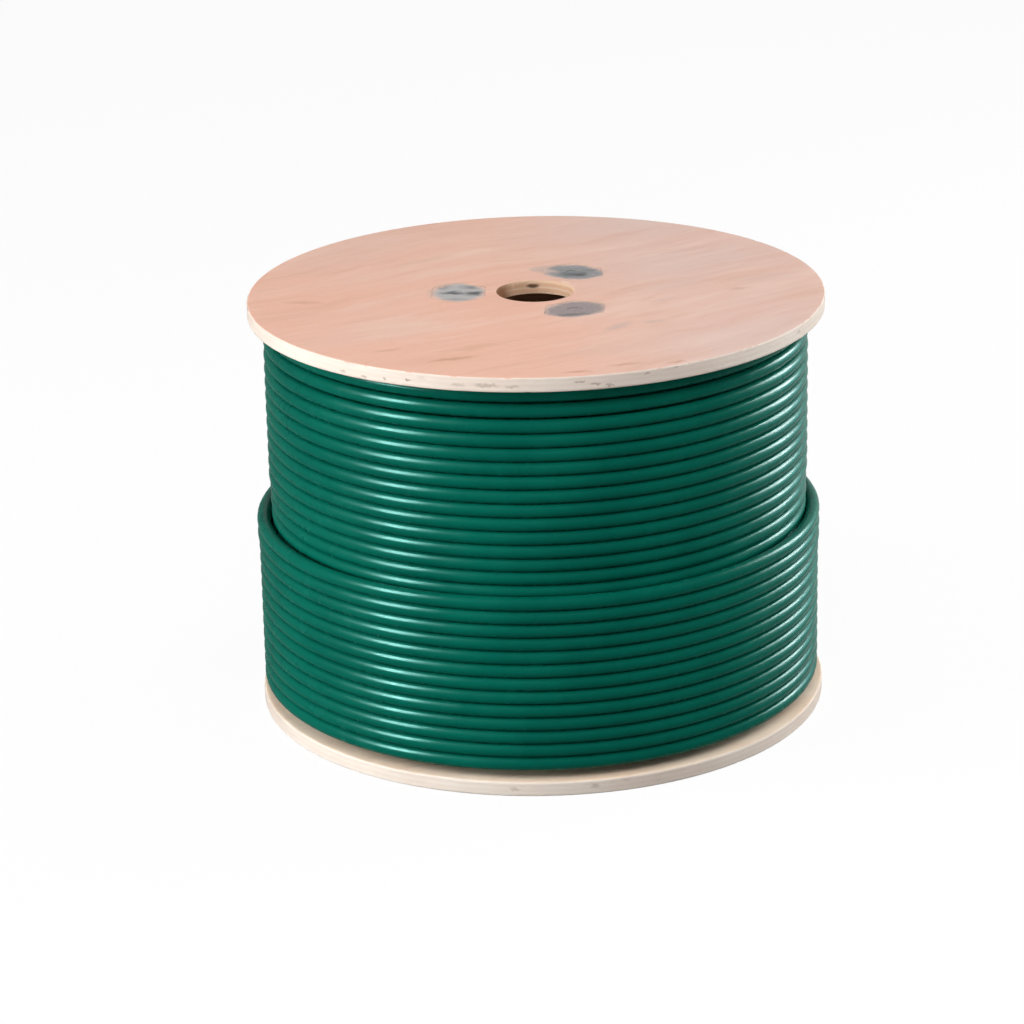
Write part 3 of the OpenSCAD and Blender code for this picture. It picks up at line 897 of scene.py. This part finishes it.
def tapeReach(angle, height):
    share = easeStep((height - tapeSet["slantLow"]) / (tapeSet["slantHigh"] - tapeSet["slantLow"]))
    turn = (angle - cableSet["startTurn"]) / 360 + 1
    outerPitch = (cableSet["outerEnd"] - cableSet["outerBottom"]) / cableSet["outerTurns"]
    outerPhase = (height - cableSet["outerBottom"]) / outerPitch - pitchesGone(turn)
    below = cableSet["upperTop"] - height
    below -= upperDrop(below / cableSet["upperPitch"])
    upperPhase = pitchesGone(turn) - below / cableSet["upperPitch"]
    phase = upperPhase if share > 0.5 else outerPhase
    held = abs(2 * share - 1)
    dip = tapeSet["dip"] * held * (0.5 - 0.5 * math.cos(2 * math.pi * phase))
    return tapeSet["outerRadius"] + (tapeSet["upperRadius"] - tapeSet["outerRadius"]) * share - dip


def makeEndTape():
    bm = bmesh.new()
    bmesh.ops.create_grid(bm, x_segments=tapeSet["acrossSteps"], y_segments=tapeSet["upSteps"], size=0.5)
    for vert in bm.verts:
        across, up = vert.co.x + 0.5, vert.co.y + 0.5
        torn = tapeSet["tear"] * noise.noise(Vector((across * 9, 2.0 if up > 0.5 else 7.0, 0)))
        reachUp = tapeSet["high"] - tapeSet["low"] - 2 * tapeSet["tear"]
        height = tapeSet["low"] + tapeSet["tear"] + reachUp * up + torn * abs(2 * up - 1)
        angle = tapeSet["fromAngle"] + (tapeSet["toAngle"] - tapeSet["fromAngle"]) * across
        vert.co = cablePoint(math.radians(angle), tapeReach(angle, height), height)
    bmesh.ops.recalc_face_normals(bm, faces=bm.faces)
    middle = max(bm.faces, key=lambda face: face.calc_center_median().y)
    if middle.normal.y < 0:
        bmesh.ops.reverse_faces(bm, faces=bm.faces)
    bmesh.ops.solidify(bm, geom=bm.faces, thickness=-tapeSet["thick"] * mm)
    bmesh.ops.recalc_face_normals(bm, faces=bm.faces)
    piece = addMeshPiece("endTapeStrip", bm, [tapePaper], 60)
    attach(piece, "root")
    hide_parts("end_tape")


makeEndTape()

# the layers under them, as one sleeve with a turn's ridge at each pitch
sleeveSet = {"bore": 53.1, "crest": 132.9, "low": 7.5, "high": 212.5, "ridgeSteps": 6, "aroundSteps": 144}


# closed outline of (radius, height) turned round the reel's axis
def spinProfile(outline, steps):
    bm = bmesh.new()
    corners = [bm.verts.new((reach * mm, 0, height * mm)) for reach, height in outline]
    edges = [bm.edges.new((corners[i - 1], corners[i])) for i in range(len(corners))]
    bmesh.ops.spin(
        bm,
        geom=corners + edges,
        cent=(0, 0, 0),
        axis=(0, 0, 1),
        angle=2 * math.pi,
        steps=steps,
        use_merge=True,
        use_duplicate=False,
    )
    bmesh.ops.remove_doubles(bm, verts=bm.verts, dist=1e-7)
    bmesh.ops.recalc_face_normals(bm, faces=bm.faces)
    return bm


def sleeveOutline():
    ridges = round((sleeveSet["high"] - sleeveSet["low"]) / cableSet["pitch"])
    pitch = (sleeveSet["high"] - sleeveSet["low"]) / ridges
    outline = [(sleeveSet["bore"], sleeveSet["low"])]
    for ridge in range(ridges):
        middle = sleeveSet["low"] + pitch * (ridge + 0.5)
        for step in range(sleeveSet["ridgeSteps"]):
            turn = math.pi * (step / sleeveSet["ridgeSteps"] - 0.5)
            reach = sleeveSet["crest"] - cableSet["radius"] * (1 - math.cos(turn))
            outline.append((reach, middle + pitch / 2 * math.sin(turn)))
    outline.append((sleeveSet["crest"] - cableSet["radius"], sleeveSet["high"]))
    outline.append((sleeveSet["bore"], sleeveSet["high"]))
    return outline


sleeveMesh = spinProfile(sleeveOutline(), sleeveSet["aroundSteps"])
sleeve = addMeshPiece("hiddenLayers", sleeveMesh, [sheath], 60)
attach(sleeve, "root")
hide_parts("cable_inner_layers")
print("wire spool: cable")

flangeSet = {
    "radius": 150.0,
    "thick": 7.5,
    "bore": 20.0,
    "edgeRound": 0.8,
    "boreWear": 0.4,
    "aroundSteps": 600,
    "height": 220.0,
    "rimWander": 0.10,
    "chipDepth": 0.55,
    "boreWander": 0.22,
    "boreChip": 0.35,
    "rodCircle": 39.95,
    "rodAngles": (60, 180, 300),
    "plateLong": 36.0,
    "plateWide": 27.0,
    "seatDeep": 1.4,
    "seatGap": 0.15,
    "plateRagged": 0.7,
    "nutHole": 5.65,
    "rings": (60, 105),  # where the faces are divided
}


def flangeOutline():
    outer, thick, edge = flangeSet["radius"], flangeSet["thick"], flangeSet["edgeRound"]
    bore, wear = flangeSet["bore"], flangeSet["boreWear"]
    near, far = flangeSet["rings"]
    outline = [(bore + wear, 0), (near, 0), (far, 0), (outer - edge - 1, 0)]
    for step in range(4):
        turn = math.radians(30 * step)
        outline.append((outer - edge + edge * math.sin(turn), edge - edge * math.cos(turn)))
    rows = 7
    for row in range(1, rows):
        outline.append((outer, edge + (thick - 2 * edge) * row / rows))
    for step in range(4):
        turn = math.radians(30 * step)
        outline.append((outer - edge + edge * math.cos(turn), thick - edge + edge * math.sin(turn)))
    outline += [(outer - edge - 1, thick), (far, thick), (near, thick), (bore + wear, thick)]
    outline.append((bore, thick - wear))
    for row in range(1, 4):
        outline.append((bore, thick - wear - (thick - 2 * wear) * row / 4))
    outline.append((bore, wear))
    return outline


# saw marks, small chips and a slightly out-of-round edge
def wearEdges(bm, seed):
    drift = Vector((seed, seed, seed))
    for vert in bm.verts:
        reach = Vector((vert.co.x, vert.co.y, 0))
        away = reach.normalized()
        if reach.length > (flangeSet["radius"] - 1.2) * mm:
            spot = Vector((vert.co.x, vert.co.y, vert.co.z * 3)) * 260 + drift
            shift = flangeSet["rimWander"] * noise.noise(spot * 0.4)
            chip = max(noise.noise(spot * 1.9) - 0.38, 0) * 2.2
            vert.co -= away * mm * (abs(shift) + flangeSet["chipDepth"] * chip)
        elif reach.length < (flangeSet["bore"] + 1) * mm:
            spot = Vector((vert.co.x, vert.co.y, vert.co.z * 2)) * 420 + drift
            shift = flangeSet["boreWander"] * noise.noise(spot)
            chip = max(noise.noise(spot * 2.3) - 0.3, 0)
            vert.co += away * mm * (abs(shift) + flangeSet["boreChip"] * chip)


# six-sided plate with a ragged edge, larger by the gap all round
def hexPrism(bm, gap, low, high, seed):
    x, y = flangeSet["plateWide"] / 2 + gap, flangeSet["plateLong"] / 2 + gap
    corners = [(-x, -y / 2), (0, -y), (x, -y / 2), (x, y / 2), (0, y), (-x, y / 2)]
    face = bm.faces.new([bm.verts.new((across * mm, along * mm, low * mm)) for across, along in corners])
    cut = bmesh.ops.subdivide_edges(bm, edges=list(face.edges), cuts=10)
    drawn = [item for item in cut["geom_split"] if isinstance(item, bmesh.types.BMVert)]
    for vert in set(drawn):
        push = abs(noise.noise(vert.co * 900 + Vector((seed, 0, 0)))) * flangeSet["plateRagged"] * mm
        vert.co += Vector((vert.co.x, vert.co.y, 0)).normalized() * push
    grown = bmesh.ops.extrude_face_region(bm, geom=[face])
    tops = [item for item in grown["geom"] if isinstance(item, bmesh.types.BMVert)]
    bmesh.ops.translate(bm, verts=tops, vec=(0, 0, (high - low) * mm))
    bmesh.ops.recalc_face_normals(bm, faces=bm.faces)


def cutOut(piece, cutter):
    tool = addMeshPiece("cutter", cutter, [])
    cut = piece.modifiers.new("cut", "BOOLEAN")
    cut.operation = "DIFFERENCE"
    cut.solver = "EXACT"
    cut.object = tool
    graph = bpy.context.evaluated_depsgraph_get()
    made = bpy.data.meshes.new_from_object(piece.evaluated_get(graph))
    piece.modifiers.clear()
    old = piece.data
    piece.data = made
    bpy.data.meshes.remove(old)
    bpy.data.objects.remove(tool)


def moveOut(bm, angle):
    bmesh.ops.translate(bm, verts=bm.verts, vec=(flangeSet["rodCircle"] * mm, 0, 0))
    bmesh.ops.rotate(bm, verts=bm.verts, cent=(0, 0, 0), matrix=Matrix.Rotation(math.radians(angle), 3, "Z"))


# one plate at each rod
def threePlates(gap, low, high, seed):
    whole = bmesh.new()
    for angle in flangeSet["rodAngles"]:
        plate = bmesh.new()
        hexPrism(plate, gap, low, high, seed + angle)
        moveOut(plate, angle)
        joinInto(whole, plate)
    return whole


# upright round pegs on a circle, to cut holes with
def roundPegs(circle, angles, radius, low, high):
    whole = bmesh.new()
    for angle in angles:
        turn = math.radians(angle)
        place = Vector((circle * math.cos(turn), circle * math.sin(turn), (low + high) / 2)) * mm
        bmesh.ops.create_cone(
            whole, cap_ends=True, segments=32, radius1=radius * mm, radius2=radius * mm,
            depth=(high - low) * mm, matrix=Matrix.Translation(place),
        )
    return whole


def rodPegs(radius, low, high):
    return roundPegs(flangeSet["rodCircle"], flangeSet["rodAngles"], radius, low, high)


# drawn as the lower one, and turned over for the upper
def makeFlange(name, node, top, seed):
    bm = spinProfile(flangeOutline(), flangeSet["aroundSteps"])
    height, deep = flangeSet["height"], flangeSet["seatDeep"]
    if top:
        bmesh.ops.scale(bm, verts=bm.verts, vec=(1, 1, -1))
        bmesh.ops.translate(bm, verts=bm.verts, vec=(0, 0, height * mm))
        bmesh.ops.recalc_face_normals(bm, faces=bm.faces)
    wearEdges(bm, seed)
    plies = [veneer, rimPly, innerPly, backVeneer]
    piece = addMeshPiece(name, bm, plies)
    low, high = (height - deep, height + 1.0) if top else (-1.0, deep)
    cutOut(piece, threePlates(flangeSet["seatGap"], low, high, seed))
    middle = height - 4 if top else 4
    cutOut(piece, rodPegs(flangeSet["nutHole"], middle - 10, middle + 10))
    setMaterials(piece.data, plies)
    # outer and inner face, then the rim and the holes' walls
    for face in piece.data.polygons:
        reach = math.hypot(face.center.x, face.center.y)
        if abs(face.normal.z) > 0.8:
            face.material_index = 0 if (face.normal.z > 0) == top else 3
        else:
            face.material_index = 1 if reach > 0.14 else 2
    smoothShade(piece.data, 32)
    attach(piece, "root")
    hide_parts(node)


makeFlange("upperFlange", "top_flange", True, 4.0)
makeFlange("lowerFlange", "bottom_flange", False, 11.0)
print("wire spool: flanges")

# hub disc under the upper flange, bored wide
hubSet = {
    "radius": 48.8,
    "bore": 33.0,
    "low": 203.5,
    "high": 212.5,
    "edge": 0.5,
    "aroundSteps": 192,
    "nailCircle": 41.8,
    "nailAngles": (120, 240, 0),
    "nailHole": 0.93,
    "nailHead": 2.3,
    "headDeep": 0.8,
}


def makeHubDisc():
    low, high, edge = hubSet["low"], hubSet["high"], hubSet["edge"]
    inner, outer = hubSet["bore"], hubSet["radius"]
    outline = [(inner, low + edge), (inner + edge, low), (outer - edge, low), (outer, low + edge)]
    outline += [(outer, high - edge), (outer - edge, high), (inner + edge, high), (inner, high - edge)]
    piece = addMeshPiece("upperHubDisc", spinProfile(outline, hubSet["aroundSteps"]), [hubPly])
    cutOut(piece, rodPegs(flangeSet["nutHole"], low - 5, high + 5))
    circle, angles = hubSet["nailCircle"], hubSet["nailAngles"]
    cutOut(piece, roundPegs(circle, angles, hubSet["nailHole"], low - 5, high + 5))
    headTop = low + hubSet["headDeep"] + 0.05
    cutOut(piece, roundPegs(circle, angles, hubSet["nailHead"] + 0.05, low - 1, headTop))
    setMaterials(piece.data, [hubPly])
    for face in piece.data.polygons:
        face.material_index = 0
    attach(piece, "root")
    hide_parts("top_hub_disc")


makeHubDisc()

# tee nuts in the upper flange: worn plate, threaded barrel under it, two prongs each
teeNutSet = {
    "plateTop": 219.8,
    "plateThick": 1.2,
    "barrelOut": 5.5,
    "barrelIn": 4.1,
    "barrelLow": 206.6,
    "mouth": 4.12,
    "prongOut": 11,
    "prongWide": 5,
    "prongThick": 1.2,
    "prongLow": 214.6,
}


def barrelAndProngs(high):
    low, prongLow = teeNutSet["barrelLow"], teeNutSet["prongLow"]
    inner, outer = teeNutSet["barrelIn"], teeNutSet["barrelOut"]
    lip = [(inner, low), (outer, low), (outer, high), (inner + 0.6, high), (inner, high - 0.6)]
    bm = spinProfile(lip, 32)
    for side in (-1, 1):
        place = Vector((0, side * teeNutSet["prongOut"], (prongLow + high) / 2)) * mm
        prong = bmesh.ops.create_cube(bm, size=mm)["verts"]
        size = Vector((teeNutSet["prongWide"], teeNutSet["prongThick"], high - prongLow))
        bmesh.ops.scale(bm, verts=prong, vec=size)
        bmesh.ops.translate(bm, verts=prong, vec=place)
        tips = [vert for vert in prong if vert.co.z < place.z]
        bmesh.ops.scale(bm, verts=tips, vec=(0.3, 1, 1))
    return bm


def makeTeeNuts(name, node, seed):
    top, under = teeNutSet["plateTop"], teeNutSet["plateTop"] - teeNutSet["plateThick"]
    piece = addMeshPiece(name, threePlates(0, under, top, seed), [plateSteel, zinc])
    cutOut(piece, rodPegs(teeNutSet["mouth"], top - 3, top + 1))
    whole = bmesh.new()
    whole.from_mesh(piece.data)
    for angle in flangeSet["rodAngles"]:
        barrel = barrelAndProngs(under)
        moveOut(barrel, angle)
        joinInto(whole, barrel)
    whole.to_mesh(piece.data)
    whole.free()
    setMaterials(piece.data, [plateSteel, zinc])
    for face in piece.data.polygons:
        face.material_index = 0 if face.center.z > (under - 0.1) * mm else 1
    smoothShade(piece.data, 35)
    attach(piece, "root")
    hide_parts(node)


makeTeeNuts("upperTeeNuts", "top_tee_nuts", 4.0)
print("wire spool: hub disc and tee nuts")

# finishes on the pieces that keep their solids
nodeFinishes = {
    "bottom_hub_disc": innerPly,
    "barrel_tube": board,
    "tie_rods": plateSteel,
    "bottom_tee_nuts": zinc,
    "bottom_hub_nails": nailSteel,
    "top_hub_nails": nailSteel,
    "start_end_insulation": insulation,
    "start_end_conductor": copper,
    "outer_end_insulation": insulation,
    "outer_end_conductor": copper,
}
for node, material in nodeFinishes.items():
    setMaterials(cadNodes[node].data, [material])
    for face in cadNodes[node].data.polygons:
        face.material_index = 0
print("wire spool: kept solids")
